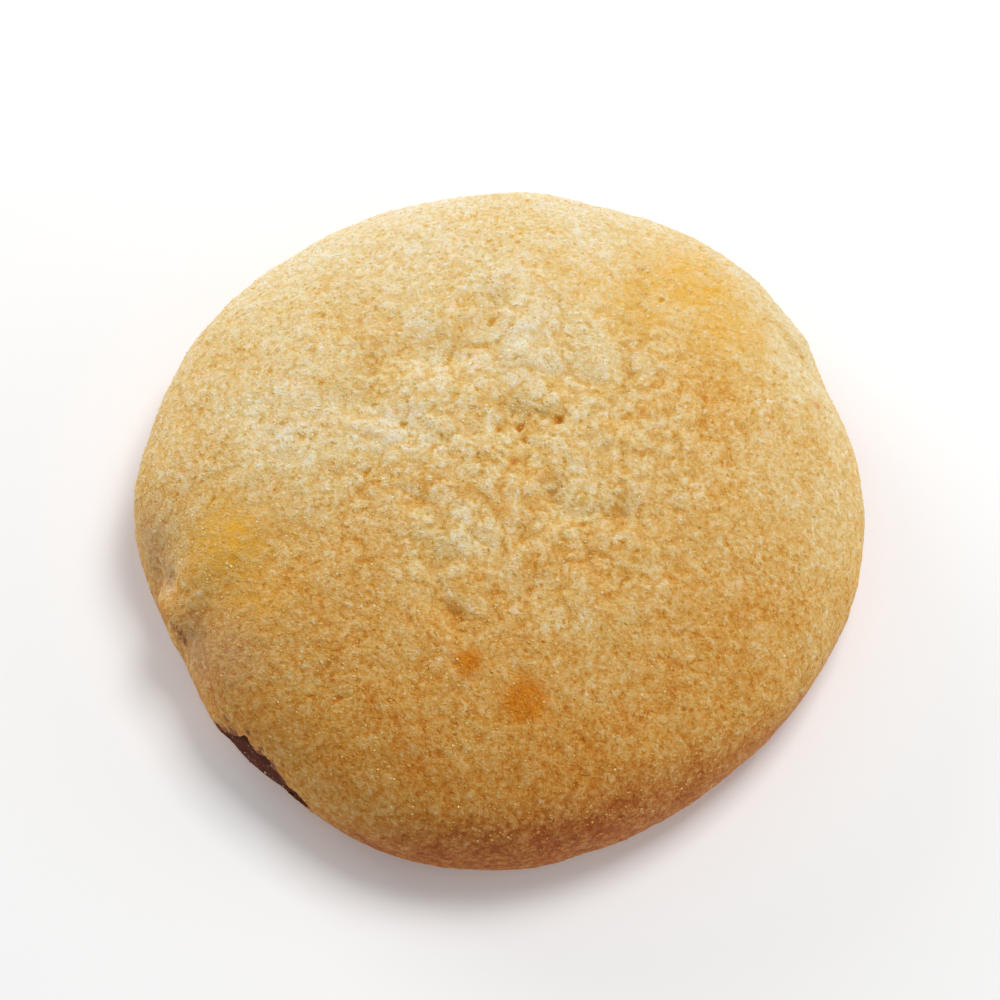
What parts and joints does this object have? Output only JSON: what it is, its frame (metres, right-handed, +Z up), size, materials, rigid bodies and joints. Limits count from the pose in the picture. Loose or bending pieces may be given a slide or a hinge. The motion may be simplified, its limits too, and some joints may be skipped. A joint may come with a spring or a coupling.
{
  "type": "soft-baked cookie",
  "caption": "Thick domed soft-baked cookie with a flat base, a cracked crumbly crown and a chocolate filling that shows at its side.",
  "frame": {"origin": "middle of the flat base, under the middle of the cookie's box", "axes": "+Z up through the crown; +X and +Y level, with the filling showing at the front left, between -X and -Y"},
  "size_m": [0.0644, 0.0638, 0.0181],
  "materials": {
    "baked_dough": "matte, rough, fine golden crumb, browner round the base",
    "chocolate": "dull, slightly waxy dark brown"
  },
  "bodies": {
    "root": {"cookie_dough": "baked_dough", "chocolate_filling": "chocolate"}
  },
  "joints": []
}
